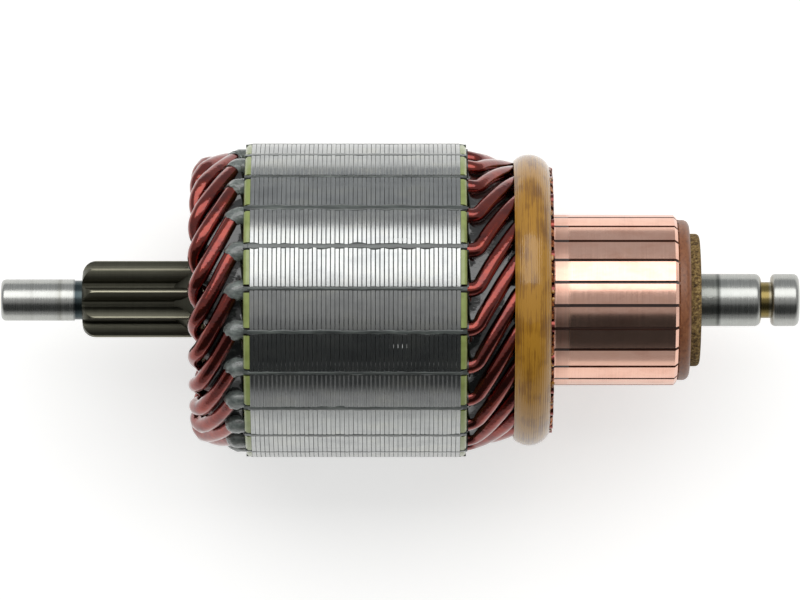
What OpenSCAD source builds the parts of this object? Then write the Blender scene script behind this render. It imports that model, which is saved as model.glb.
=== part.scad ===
// Armature of a gear-reduction starter motor.
// The shaft runs along X, pinion at -X and commutator at +X, with the origin on the axis at mid-length.
// Angles around the shaft are counted from -Y upwards, so a point at turn t and radius r is [x, -r cos t, r sin t].

/* [Shaft] */
// Overall length of the shaft
shaft_length = 152.2; // [145:0.1:160]
// Diameter of the journal at the pinion end
drive_journal_d = 7.9; // [6:0.1:9]
// Length of the journal at the pinion end
drive_journal_length = 13.95; // [10:0.05:18]
// Diameter of the relief between journal and pinion
relief_d = 7.45; // [5:0.05:8.5]
// Width of the relief between journal and pinion
relief_w = 1.6; // [0.8:0.1:3]
// Rounding of the shaft end beside the pinion
drive_end_round = 0.9; // [0.3:0.1:1.5]
// Diameter of the seat that the core is pressed on
core_seat_d = 17; // [15:0.5:20]
// Diameter of the seat under the commutator
commutator_seat_d = 14; // [12:0.5:15]
// Diameter of the journal at the commutator end
rear_journal_d = 10; // [8:0.1:11.5]
// Rounding of the rear journal where it meets the ring groove
rear_journal_round = 1.2; // [0.4:0.1:1.5]
// Diameter at the bottom of the ring groove
groove_d = 6.9; // [5:0.1:7.5]
// Width of the ring groove
groove_w = 1.9; // [1:0.1:3]
// Length of the head behind the ring groove
head_length = 5.35; // [4:0.05:8]
// Rounding of the head where it meets the ring groove
head_inner_round = 0.9; // [0.4:0.1:1.4]
// Rounding of the outer edge of the head
head_round = 1.1; // [0.4:0.1:1.5]

/* [Pinion] */
// Number of teeth
pinion_teeth = 9; // [8:1:11]
// Module of the teeth
pinion_module = 1.25; // [1:0.05:1.3]
// Profile shift of the teeth, in modules
pinion_shift = 0.46; // [0.3:0.02:0.5]
// Length of the teeth at full depth
pinion_length = 17.5; // [12:0.5:18]
// Length over which the tooth spaces run out to the tip diameter
pinion_runout = 4; // [2:0.5:5]
// Rounding of the tooth ends at the journal side
pinion_end_round = 2.6; // [1:0.1:2.8]
// Turn of one tooth tip above the horizontal
pinion_phase = 22.5; // [0:0.5:40]

/* [Core] */
// Outer diameter of the lamination stack
core_d = 60; // [58:0.5:64]
// Pitch of the laminations, sheet and film
lamination_pitch = 0.84; // [0.8:0.01:0.88]
// Number of laminations
lamination_count = 47; // [44:1:50]
// Distance from the pinion end of the shaft to the stack
core_setback = 48; // [46:0.5:50]
// Number of slots, hairpins and commutator bars
slot_count = 23; // [21:2:25]
// Turn of the first slot above the horizontal
slot_phase = 0.2; // [0:0.1:15]
// Width of the slot mouth
slot_mouth_w = 0.75; // [0.6:0.05:1.2]
// Height of the tooth lips that close the slot
slot_lip_h = 1; // [0.8:0.1:1.4]
// Thickness of the green end insulators
end_plate_t = 1.2; // [0.8:0.1:1.6]
// Rounding of the rim of the end insulators
end_plate_round = 0.8; // [0.3:0.1:0.8]
// How much wider the slot mouth is in the end insulators
end_plate_mouth_extra = 0.8; // [0:0.1:1]
// Depth of the resin below the tooth tips
resin_recess = 0.15; // [0.05:0.05:0.4]

/* [Winding] */
// Diameter of the enamelled wire
wire_d = 3; // [2.7:0.05:3.1]
// Thickness of the slot liner
liner_t = 0.2; // [0.1:0.05:0.3]
// How far the slot liner stands out of each end insulator
liner_stand = 0.3; // [0:0.05:0.5]
// Thickness of the paper cone between the two layers of wire
layer_paper_t = 0.12; // [0.08:0.01:0.15]
// Reach of the winding beyond the end insulator at the pinion end
drive_reach = 10.6; // [10:0.1:12]
// Length of the winding from the end insulator to the commutator face
rear_reach = 16.4; // [16:0.1:18]
// Number of slots that each leg crosses on its way to a crown or to a bar
leg_slots = 2; // [2]
// Bend radius of a wire where it leaves the slot or enters the riser
bend_r = 2.5; // [2:0.1:3]
// Bend radius of a wire at its crown
crown_bend_r = 3; // [2.5:0.1:3.5]
// How far the crowns lie closer to the shaft than the slots
crown_drop = 2.2; // [1.8:0.1:2.6]
// Half of the radial distance between the two legs beside a crown
crown_half = 2.2; // [2:0.1:2.4]
// Length along the wire in which it turns from one layer to the other
crown_run = 4; // [3:0.5:5]
// Outer diameter of the glass-fibre band
band_d = 55.8; // [55:0.2:58]
// Radius of the band's rounded back
band_back_r = 4.3; // [4:0.1:6]
// Distance from the commutator face to the near edge of the band
band_setback = 0.5; // [0.2:0.1:1]
// Width of the band
band_w = 6.9; // [6:0.1:7.2]

/* [Commutator] */
// Diameter of the brush track
track_d = 32.6; // [31:0.2:34]
// Length of the brush track
track_length = 23.7; // [20:0.1:26]
// Outer diameter over the risers
riser_d = 50.8; // [50:0.2:52]
// Thickness of the risers along the shaft
riser_t = 4.4; // [3:0.1:5]
// Rounding of the risers' outer edge
riser_round = 0.9; // [0.3:0.1:1]
// Fillet between riser and brush track
riser_fillet = 0.6; // [0.2:0.1:1]
// Width of the gap between two bars
bar_gap = 0.6; // [0.4:0.1:0.7]
// Thickness of a bar under the brush track
bar_t = 3.6; // [3:0.1:4]
// Depth of the undercut between the bars
undercut_depth = 0.6; // [0.3:0.1:1]
// Length beside the risers that is left without undercut
undercut_setback = 3; // [1:0.5:4]
// Chamfer at the free end of the bars
bar_chamfer = 0.6; // [0.2:0.1:1]
// Height of the dovetail foot that anchors a bar in the moulding
bar_foot_h = 1.8; // [1.2:0.1:2]
// Diameter of the moulded collar behind the bars
collar_d = 30.6; // [29:0.2:31]
// Width of the moulded collar
collar_w = 2.4; // [1.5:0.1:3.5]
// Bevel of the collar behind each bar
collar_bevel = 0.3; // [0.2:0.1:0.5]
// Rounding of the collar
collar_round = 1.3; // [0.5:0.1:1.5]
// Wall of the steel bush in the moulding
bush_wall = 1.6; // [1:0.1:2]
// Outer diameter of the fibre washer
washer_d = 25.3; // [22:0.1:28]
// Thickness of the fibre washer
washer_t = 2; // [1:0.1:3]
// Rounding of the fibre washer
washer_round = 0.8; // [0.2:0.1:0.9]

/* [Clearances] */
// Radial clearance between pieces that are pressed or glued together
fit_clear = 0.02; // [0.01:0.01:0.04]
// Clearance around a wire in its liner and in its riser
wire_clear = 0.05; // [0.04:0.01:0.1]
// Radial clearance between the two layers of wire in the slot
layer_clear = 0.28; // [0.26:0.01:0.32]
// How far the layer paper lies below the middle of the gap between the layers
paper_sink = 0.14; // [0.12:0.01:0.15]

/* [Hidden] */
$fn = 96;
pitch = 360 / slot_count;
over = 1;

// Stations along the shaft
shaft_x0 = -shaft_length / 2;
shaft_x1 = shaft_length / 2;
relief_x = shaft_x0 + drive_journal_length;
pinion_x = relief_x + relief_w;
core_length = lamination_pitch * lamination_count;
core_x0 = shaft_x0 + core_setback;
core_x1 = core_x0 + core_length;
plate_x0 = core_x0 - end_plate_t;
plate_x1 = core_x1 + end_plate_t;
face_x = plate_x1 + rear_reach;
riser_x = face_x - riser_t;
track_x = face_x + track_length;
collar_x = track_x + collar_w;
washer_x = collar_x + washer_t;
groove_x = shaft_x1 - head_length - groove_w;
crown_x = plate_x0 - drive_reach + wire_d / 2;
wire_x0 = plate_x0 - liner_stand;
wire_x1 = plate_x1 + liner_stand;
wire_straight = 0.4;
wire_riser_x = riser_x - wire_straight;
core_seat_stand = 2;

// Radii of the slot and of the two layers of wire, the outer one first
core_r = core_d / 2;
slot_w = wire_d + 2 * (wire_clear + liner_t + fit_clear);
slot_r = [core_r - slot_lip_h - slot_w / 2, core_r - slot_lip_h - slot_w / 2 - wire_d - layer_clear];
riser_layer_clear = 0.35;
riser_r = [(riser_d - wire_d) / 2, (riser_d - wire_d) / 2 - wire_d - riser_layer_clear];
slot_mid_r = (slot_r[0] + slot_r[1]) / 2;
slot_half = (slot_r[0] - slot_r[1]) / 2;
leg_turn = leg_slots * pitch;
wire_sides = 8;
arc_steps = 2;
line_steps = 3;

// Pinion radii
pitch_r = pinion_module * pinion_teeth / 2;
pressure = 20;
base_r = pitch_r * cos(pressure);
tip_r = pitch_r + pinion_module * (1 + pinion_shift);
root_r = pitch_r + pinion_module * (pinion_shift - 1.25);
root_fillet = 0.25 * pinion_module;
flank_steps = 7;

// Commutator radii
track_r = track_d / 2;
bar_r0 = track_r - bar_t;
foot_r0 = bar_r0 - bar_foot_h;
foot_flare = 1.2;
foot_inset = 4;
bush_r0 = commutator_seat_d / 2 + fit_clear;
bush_r1 = bush_r0 + bush_wall;
bush_x = riser_x + 1;

function pad(k) = k < 10 ? str("0", k) : str(k);
function hairpin_name(k) = str("hairpin_", pad(k));
function bar_name(k) = str("commutator_bar_", pad(k));

// Places

// Sets a shape that is drawn along Z on the shaft, which runs along X.
module on_shaft(x = 0)
{
    translate([x, 0, 0])
        rotate([90, 0, 90])
            children();
}

// Turns a shape drawn at the positive first axis to a turn around the shaft.
module at_turn(turn)
{
    rotate([0, 0, 180 - turn])
        children();
}

// Repeats a shape at every slot or bar.
module at_each_slot()
{
    for (k = [1 : slot_count])
        at_turn(slot_phase + k * pitch)
            children();
}

// Profiles of turned pieces: radius to the right, length along the shaft upwards

// The corner of a square that lies outside its rounding, with the square's corner at the origin.
module corner_waste(r, side)
{
    mirror([0, side > 0 ? 1 : 0])
        translate([-r, 0])
            difference() {
                square([r + over, r]);
                translate([0, r])
                    circle(r);
                translate([-r, r])
                    square([2 * r, r]);
            }
}

// Half profile of a bar from length a to length b, with its outer corners rounded.
module step(r, a, b, round_a = 0, round_b = 0)
{
    difference() {
        translate([0, a])
            square([r, b - a]);
        if (round_a > 0)
            translate([r, a])
                corner_waste(round_a, -1);
        if (round_b > 0)
            translate([r, b])
                corner_waste(round_b, 1);
    }
}

// Half profile of a ring from length a to length b.
module ring(r0, r1, a, b, round_a = 0, round_b = 0)
{
    difference() {
        step(r1, a, b, round_a, round_b);
        translate([0, a - over])
            square([r0, b - a + 2 * over]);
    }
}

// Pinion teeth

function involute_turn(r) = let (a = acos(base_r / r)) tan(a) * 180 / PI - a;
tooth_half_turn = (PI / 2 + 2 * pinion_shift * tan(pressure)) * pinion_module / pitch_r * 90 / PI
    + involute_turn(pitch_r);
function polar(r, a) = [r * cos(a), r * sin(a)];
function flank_r(i) = base_r + (tip_r - base_r) * i / flank_steps;
function flank(side) = [
    for (i = [0 : flank_steps]) polar(flank_r(i), side * (tooth_half_turn - involute_turn(flank_r(i))))
];
function reversed(list) = [for (i = [len(list) - 1 : -1 : 0]) list[i]];

// One tooth, with its centre line on the first axis and its foot inside the root circle.
module tooth()
{
    polygon(concat(
        [polar(root_r / 2, -tooth_half_turn), polar(root_r, -tooth_half_turn - root_fillet / root_r * 180 / PI)],
        [polar(root_r + root_fillet, -tooth_half_turn)],
        flank(-1),
        reversed(flank(1)),
        [polar(root_r + root_fillet, tooth_half_turn)],
        [polar(root_r, tooth_half_turn + root_fillet / root_r * 180 / PI), polar(root_r / 2, tooth_half_turn)]
    ));
}

module pinion()
{
    intersection() {
        union() {
            linear_extrude(pinion_length + pinion_runout)
                for (i = [0 : pinion_teeth - 1])
                    at_turn(pinion_phase + i * 360 / pinion_teeth)
                        tooth();
            cylinder(r = root_r, h = pinion_length);
            translate([0, 0, pinion_length])
                cylinder(r1 = root_r, r2 = tip_r, h = pinion_runout);
        }
        rotate_extrude()
            step(tip_r, 0, pinion_length + pinion_runout, pinion_end_round);
    }
}

// Core and slots

// Section of a slot or of what fills it, on the first axis, without its mouth.
module slot_section(w)
{
    for (r = slot_r)
        translate([r, 0])
            circle(d = w, $fn = 48);
    translate([slot_r[1], -w / 2])
        square([slot_r[0] - slot_r[1], w]);
}

module slot_with_mouth(mouth_w)
{
    slot_section(slot_w);
    translate([slot_r[0], -mouth_w / 2])
        square([core_r - slot_r[0] + over, mouth_w]);
}

module end_insulator()
{
    difference() {
        rotate_extrude()
            ring(core_seat_d / 2 + fit_clear, core_r - resin_recess, 0, end_plate_t, 0, end_plate_round);
        translate([0, 0, -over])
            linear_extrude(end_plate_t + 2 * over)
                at_each_slot()
                    slot_with_mouth(slot_mouth_w + end_plate_mouth_extra);
    }
}

// Hairpins
// A path is planned on the unrolled layer as [along the shaft, around it], both in millimetres.

function arc(centre, r, from, to) = [
    for (i = [0 : arc_steps]) centre + polar(r, from + (to - from) * i / arc_steps)
];
function inner_points(p, q, steps) = [for (i = [1 : steps - 1]) p + (q - p) * i / steps];
function last(list) = list[len(list) - 1];

// From the slot, along the shaft, into a slanted line and round to a crown that runs across the shaft.
function crown_leg(along, around) =
    let (
        start = [0, bend_r],
        end = [along - crown_bend_r, around],
        v = end - start,
        slant = atan2(v.y, v.x) - asin((crown_bend_r - bend_r) / norm(v)),
        bend = arc(start, bend_r, -90, slant - 90),
        crown = arc(end, crown_bend_r, slant - 90, 0)
    )
    concat(bend, inner_points(last(bend), crown[0], line_steps), crown);

// From the slot, along the shaft, into a slanted line and back along the shaft into the riser.
function riser_leg(along, around) =
    let (
        start = [0, bend_r],
        end = [along, around - bend_r],
        v = end - start,
        slant = atan2(v.y, v.x) + asin(2 * bend_r / norm(v)),
        bend = arc(start, bend_r, -90, slant - 90),
        back = arc(end, bend_r, slant + 90, 90)
    )
    concat(bend, inner_points(last(bend), back[0], line_steps - 1), back);

// Length of a path from point i to its end.
function length_from(path, i) =
    i >= len(path) - 1 ? 0 : norm(path[i + 1] - path[i]) + length_from(path, i + 1);

// Radius at which a layer is unrolled, and turn for a distance around it.
function unroll_r(layer) = slot_r[layer] - crown_drop / 2;
function turn_of(layer, around) = around / unroll_r(layer) * 180 / PI;
leg_around = [for (layer = [0, 1]) leg_turn * PI / 180 * unroll_r(layer)];

// Points [along, turn, radius] of one leg, from the slot outwards, with side 1 for the outer layer and -1 for the inner.
function crown_points(layer, turn, side) =
    let (reach = wire_x0 - crown_x, path = crown_leg(reach, leg_around[layer]))
    [for (i = [0 : len(path) - 1])
        let (
            part = path[i].x / reach,
            mid = slot_mid_r - crown_drop * part,
            half = slot_half + (crown_half - slot_half) * part,
            rise = sin(90 * min(1, length_from(path, i) / crown_run))
        )
        [wire_x0 - path[i].x, turn - side * turn_of(layer, path[i].y), mid + side * half * rise]
    ];
function riser_points(layer, turn, side) =
    let (reach = wire_riser_x - wire_x1, path = riser_leg(reach, leg_around[layer]))
    concat(
        [for (p = path)
            [wire_x1 + p.x, turn + side * turn_of(layer, p.y),
                slot_r[layer] + (riser_r[layer] - slot_r[layer]) * p.x / reach]
        ],
        [[face_x, turn + side * leg_turn, riser_r[layer]]]
    );
function all_but_last(list) = [for (i = [0 : len(list) - 2]) list[i]];
function hairpin_points(turn) = concat(
    reversed(riser_points(0, turn, 1)),
    crown_points(0, turn, 1),
    reversed(all_but_last(crown_points(1, turn - 2 * leg_turn, -1))),
    riser_points(1, turn - 2 * leg_turn, -1)
);
function place(p) = [p[0], -p[2] * cos(p[1]), p[2] * sin(p[1])];
function unit(v) = v / norm(v);

// Ring of points around a path, kept upright by the direction away from the shaft.
function wire_ring(path, i) =
    let (
        ahead = unit(path[min(i + 1, len(path) - 1)] - path[max(i - 1, 0)]),
        away = unit([0, path[i].y, path[i].z]),
        across = unit(cross(ahead, away)),
        up = cross(across, ahead)
    )
    [for (j = [0 : wire_sides - 1])
        let (a = (j + 0.5) * 360 / wire_sides)
        path[i] + wire_d / 2 * (cos(a) * across + sin(a) * up)
    ];

module hairpin(k)
{
    path = [for (p = hairpin_points(slot_phase + k * pitch)) place(p)];
    count = len(path);
    n = wire_sides;
    walls = [
        for (i = [0 : count - 2], j = [0 : n - 1])
            let (next = (j + 1) % n)
            [i * n + j, i * n + next, (i + 1) * n + next, (i + 1) * n + j]
    ];
    start_cap = [for (j = [n - 1 : -1 : 0]) j];
    end_cap = [for (j = [0 : n - 1]) (count - 1) * n + j];
    color("#6b2a22")
        polyhedron(
            points = [for (i = [0 : count - 1]) each wire_ring(path, i)],
            faces = concat(walls, [start_cap], [end_cap])
        );
}

// Paper cone between the two layers, whose gap has the given middle radius at each end.
module layer_paper(x0, r0, x1, r1)
{
    below = paper_sink + layer_paper_t / 2;
    above = paper_sink - layer_paper_t / 2;
    rotate_extrude()
        polygon([[r0 - below, x0], [r0 - above, x0], [r1 - above, x1], [r1 - below, x1]]);
}

// Commutator

// Points of the foot of a bar, from the riser to the free end.
foot_points = [
    [bar_r0, riser_x + foot_inset],
    [foot_r0, riser_x + foot_inset - foot_flare],
    [foot_r0, track_x - foot_inset + foot_flare],
    [bar_r0, track_x - foot_inset]
];

// Section of a bar: brush track, dovetail foot and riser.
module bar_section()
{
    difference() {
        polygon(concat([[riser_d / 2, riser_x], [bar_r0, riser_x]], foot_points, [
            [bar_r0, track_x],
            [track_r - bar_chamfer, track_x],
            [track_r, track_x - bar_chamfer],
            [track_r, face_x + riser_fillet],
            [track_r + riser_fillet, face_x + riser_fillet],
            [track_r + riser_fillet, face_x],
            [riser_d / 2, face_x]
        ]));
        translate([track_r + riser_fillet, face_x + riser_fillet])
            circle(riser_fillet);
        translate([riser_d / 2, face_x])
            corner_waste(riser_round, 1);
    }
}

// What the moulding leaves free for a bar, with a bevel on the collar behind it.
module bed_section()
{
    bed_r = track_r + over;
    bevel_r = collar_d / 2 - collar_bevel;
    polygon(concat([[bed_r, riser_x - over], [bar_r0, riser_x - over]], foot_points, [
        [bar_r0, track_x],
        [bevel_r, track_x],
        [bed_r, track_x + bed_r - bevel_r]
    ]));
}

// Wedge between the two gaps beside a bar, as an angle around the shaft.
function gap_turn(r) = 2 * asin(bar_gap / 2 / r);
bar_turn = pitch - gap_turn(track_r);

module wedge()
{
    rotate([0, 0, -bar_turn / 2])
        rotate_extrude(angle = bar_turn)
            children();
}

module riser_slot()
{
    slot_d = wire_d + 2 * wire_clear;
    translate([riser_r[1], 0, riser_x - over])
        cylinder(d = slot_d, h = riser_t + 2 * over, $fn = 48);
    translate([riser_r[1], -slot_d / 2, riser_x - over])
        cube([riser_d / 2 - riser_r[1] + over, slot_d, riser_t + 2 * over]);
}

// Nodes

module shaft()
{
    color("#b9bab6")
        on_shaft() {
            rotate_extrude() {
                step(drive_journal_d / 2, shaft_x0, relief_x, drive_end_round);
                step(relief_d / 2, relief_x - over, pinion_x + over);
                step(tip_r, pinion_x + pinion_length + pinion_runout, core_x0);
                step(core_seat_d / 2, core_x0 - core_seat_stand, core_x1 + core_seat_stand);
                step(commutator_seat_d / 2, core_x1, washer_x);
                step(rear_journal_d / 2, washer_x - over, groove_x, 0, rear_journal_round);
                step(groove_d / 2, groove_x - over, groove_x + groove_w + over);
                step(rear_journal_d / 2, groove_x + groove_w, shaft_x1, head_inner_round, head_round);
            }
            translate([0, 0, pinion_x])
                pinion();
        }
}

module core()
{
    color("#8d8f90")
        on_shaft(core_x0)
            linear_extrude(core_length)
                difference() {
                    circle(core_r);
                    circle(core_seat_d / 2 + fit_clear);
                    at_each_slot()
                        slot_with_mouth(slot_mouth_w);
                }
}

module end_insulator_drive()
{
    color("#93a35c")
        on_shaft(core_x0)
            mirror([0, 0, 1])
                end_insulator();
}

module end_insulator_rear()
{
    color("#93a35c")
        on_shaft(core_x1)
            end_insulator();
}

module slot_liners()
{
    outer = slot_w - 2 * fit_clear;
    color("#b9a878")
        on_shaft(plate_x0 - liner_stand)
            linear_extrude(plate_x1 - plate_x0 + 2 * liner_stand)
                at_each_slot()
                    difference() {
                        slot_section(outer);
                        slot_section(outer - 2 * liner_t);
                        translate([slot_r[0], -slot_mouth_w / 2])
                            square([outer, slot_mouth_w]);
                    }
}

module slot_resin()
{
    w = slot_mouth_w - 2 * fit_clear;
    r0 = slot_r[0] + slot_w / 2;
    color("#6f7274")
        on_shaft(plate_x0)
            linear_extrude(plate_x1 - plate_x0)
                at_each_slot()
                    translate([r0, -w / 2])
                        square([core_r - resin_recess - r0, w]);
}

module layer_paper_drive()
{
    x1 = crown_x + crown_run / 2;
    color("#c7b98a")
        on_shaft()
            layer_paper(wire_x0, slot_mid_r, x1, slot_mid_r - crown_drop * (wire_x0 - x1) / (wire_x0 - crown_x));
}

module layer_paper_rear()
{
    color("#c7b98a")
        on_shaft()
            layer_paper(wire_x1, slot_mid_r, wire_riser_x, (riser_r[0] + riser_r[1]) / 2);
}

module winding_band()
{
    x0 = face_x - band_setback - band_w;
    x1 = face_x - band_setback;
    seat_r = riser_d / 2 + wire_clear;
    slope = (slot_r[0] - riser_r[0]) / (wire_riser_x - wire_x1);
    color("#96701f")
        on_shaft()
            rotate_extrude()
                intersection() {
                    translate([band_d / 2 - band_back_r, x0 + band_back_r * 0.7])
                        circle(band_back_r);
                    polygon([
                        [seat_r + slope * (riser_x - x0), x0],
                        [band_d / 2 + over, x0],
                        [band_d / 2 + over, x1],
                        [seat_r, x1],
                        [seat_r, riser_x]
                    ]);
                }
}

module moulding_section()
{
    r0 = bush_r1 + fit_clear;
    r1 = track_r - undercut_depth;
    undercut_x = face_x + undercut_setback;
    difference() {
        polygon([
            [r0, riser_x],
            [track_r, riser_x],
            [track_r, undercut_x],
            [r1, undercut_x],
            [r1, track_x],
            [collar_d / 2, track_x],
            [collar_d / 2, collar_x],
            [r0, collar_x]
        ]);
        translate([collar_d / 2, collar_x])
            corner_waste(collar_round, 1);
    }
}

module commutator_moulding()
{
    color("#5d3522")
        on_shaft()
            difference() {
                rotate_extrude()
                    moulding_section();
                at_each_slot()
                    wedge()
                        bed_section();
            }
}

module commutator_bush()
{
    color("#a8a9a6")
        on_shaft()
            rotate_extrude()
                ring(bush_r0, bush_r1, bush_x, collar_x);
}

module fibre_washer()
{
    color("#85704a")
        on_shaft()
            rotate_extrude()
                ring(bush_r0, washer_d / 2, collar_x, washer_x, 0, washer_round);
}

module commutator_bar(k)
{
    color("#d69a7c")
        on_shaft()
            at_turn(slot_phase + k * pitch)
                difference() {
                    wedge()
                        bar_section();
                    riser_slot();
                }
}

shaft();
core();
end_insulator_drive();
end_insulator_rear();
slot_liners();
slot_resin();
layer_paper_drive();
layer_paper_rear();
winding_band();
commutator_moulding();
commutator_bush();
fibre_washer();
for (k = [1 : slot_count]) hairpin(k);
for (k = [1 : slot_count]) commutator_bar(k);
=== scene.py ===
"""Looks of a starter-motor armature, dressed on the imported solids.

Enamelled hairpin wires, stacked laminations, varnish, a glass-fibre band, turned copper and ground steel.
All sizes are in metres. The shaft lies along X, from the pinion to the commutator.
"""

import math
import random

import bmesh
import bpy
from mathutils import Matrix, Vector, noise


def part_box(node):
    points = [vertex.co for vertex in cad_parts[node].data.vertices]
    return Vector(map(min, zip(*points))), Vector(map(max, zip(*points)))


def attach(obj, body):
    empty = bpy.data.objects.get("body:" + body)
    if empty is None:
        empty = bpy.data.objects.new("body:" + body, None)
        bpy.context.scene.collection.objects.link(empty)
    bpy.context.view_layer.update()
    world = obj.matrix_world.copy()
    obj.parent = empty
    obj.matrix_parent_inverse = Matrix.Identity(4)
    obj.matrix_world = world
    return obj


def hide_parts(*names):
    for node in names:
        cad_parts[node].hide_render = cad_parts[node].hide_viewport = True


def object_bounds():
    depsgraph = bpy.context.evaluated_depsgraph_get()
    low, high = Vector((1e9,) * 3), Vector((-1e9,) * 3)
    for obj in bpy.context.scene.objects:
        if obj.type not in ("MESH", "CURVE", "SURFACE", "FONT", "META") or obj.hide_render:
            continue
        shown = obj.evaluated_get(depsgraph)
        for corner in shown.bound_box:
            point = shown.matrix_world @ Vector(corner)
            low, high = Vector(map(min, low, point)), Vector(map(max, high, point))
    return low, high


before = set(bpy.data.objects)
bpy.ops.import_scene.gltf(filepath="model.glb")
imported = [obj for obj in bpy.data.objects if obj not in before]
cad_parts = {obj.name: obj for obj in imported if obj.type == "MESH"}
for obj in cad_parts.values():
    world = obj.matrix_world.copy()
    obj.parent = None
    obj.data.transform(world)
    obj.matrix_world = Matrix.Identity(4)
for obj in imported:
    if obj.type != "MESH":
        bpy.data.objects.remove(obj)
cad_low, cad_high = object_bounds()

MM = 0.001
SEED = 23
BODY = "root"
dice = random.Random(SEED)
noise.seed_set(SEED)

# Winding, as it is laid out in the solids
SLOTS = sum(name.startswith("hairpin_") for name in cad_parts)
PITCH = math.tau / SLOTS
SLOT_PHASE = math.radians(0.2)
LEG_SLOTS = 2
WIRE_D = 3 * MM
WIRE_STRAIGHT = 0.4 * MM
LINER_STAND = 0.3 * MM
BEND_R = 2.5 * MM
CROWN_BEND_R = 3 * MM
CROWN_DROP = 2.2 * MM
CROWN_HALF = 2.2 * MM
CROWN_RUN = 4 * MM
DRIVE_REACH = 10.6 * MM
SLOT_RADII = (27.23 * MM, 23.95 * MM)
RISER_RADII = (23.9 * MM, 20.55 * MM)
RISER_T = 4.4 * MM

# Core
SHEETS = 47
SLOT_W = 3.54 * MM
MOUTH_W = 0.75 * MM
BORE_R = 8.52 * MM

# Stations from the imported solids
shaft_low, shaft_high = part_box("shaft")
core_low, core_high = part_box("core")
plate_x0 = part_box("end_insulator_drive")[0].x
plate_x1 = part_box("end_insulator_rear")[1].x
riser_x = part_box("commutator_bar_01")[0].x
track_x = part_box("commutator_bar_01")[1].x
band_low, band_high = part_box("winding_band")
face_x = riser_x + RISER_T
core_r = core_high.z
riser_r = max(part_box(f"commutator_bar_{k:02d}")[1].z for k in range(1, SLOTS + 1))
wire_x0 = plate_x0 - LINER_STAND
wire_x1 = plate_x1 + LINER_STAND
wire_riser_x = riser_x - WIRE_STRAIGHT
crown_x = plate_x0 - DRIVE_REACH + WIRE_D / 2


def slot_turn(k):
    """Turn of slot k around the shaft, counted from -Y upwards."""
    return SLOT_PHASE + k * PITCH


def place(x, turn, r):
    """Point at a station, a turn and a radius."""
    return Vector((x, -r * math.cos(turn), r * math.sin(turn)))


# Materials


def linear(code):
    """Linear colour of an sRGB hex value."""
    parts = [int(code[i : i + 2], 16) / 255 for i in (1, 3, 5)]
    return tuple(c / 12.92 if c <= 0.04045 else ((c + 0.055) / 1.055) ** 2.4 for c in parts) + (1,)


def add(tree, kind, inputs=None, stops=None, **settings):
    """Adds a node with its settings, its values or links, and the stops of its ramp."""
    node = tree.nodes.new(kind)
    for name, value in settings.items():
        setattr(node, name, value)
    for name, value in (inputs or {}).items():
        if isinstance(value, bpy.types.NodeSocket):
            tree.links.new(value, node.inputs[name])
        else:
            node.inputs[name].default_value = value
    if stops:
        ramp = node.color_ramp.elements
        while len(ramp) < len(stops):
            ramp.new(1)
        for element, (position, code) in zip(ramp, stops):
            element.position = position
            element.color = linear(code)
    return node


def material(name, **shader):
    """Empty material with one Principled shader, whose steady values are set on its own sockets."""
    made = bpy.data.materials.new(name)
    made.use_nodes = True
    tree = made.node_tree
    tree.nodes.clear()
    values = {name.replace("_", " ").title().replace("Ior", "IOR"): value for name, value in shader.items()}
    surface = add(tree, "ShaderNodeBsdfPrincipled", values)
    add(tree, "ShaderNodeOutputMaterial", {"Surface": surface.outputs[0]})
    return made, tree, surface


def position(tree):
    """Object position, in metres."""
    return add(tree, "ShaderNodeTexCoord").outputs["Object"]


def on_shaft(tree, spot):
    """Station along the shaft and radius of a position, in millimetres."""
    across = add(tree, "ShaderNodeVectorMath", {0: spot, 1: (0, 1, 1)}, operation="MULTIPLY")
    radius = add(tree, "ShaderNodeVectorMath", {0: across.outputs[0]}, operation="LENGTH")
    radius_mm = add(tree, "ShaderNodeMath", {0: radius.outputs["Value"], 1: 1 / MM}, operation="MULTIPLY")
    parts = add(tree, "ShaderNodeSeparateXYZ", {0: spot})
    station_mm = add(tree, "ShaderNodeMath", {0: parts.outputs[0], 1: 1 / MM}, operation="MULTIPLY")
    return station_mm.outputs[0], radius_mm.outputs[0]


def grain(tree, spot, size_mm, detail=3, roughness=0.5):
    """Noise whose grains have the given size in millimetres along each axis."""
    scaled = add(tree, "ShaderNodeMapping", {"Vector": spot, "Scale": [1 / (s * MM) for s in size_mm]})
    return add(
        tree,
        "ShaderNodeTexNoise",
        {"Vector": scaled.outputs[0], "Scale": 1, "Detail": detail, "Roughness": roughness},
    ).outputs["Fac"]


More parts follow.
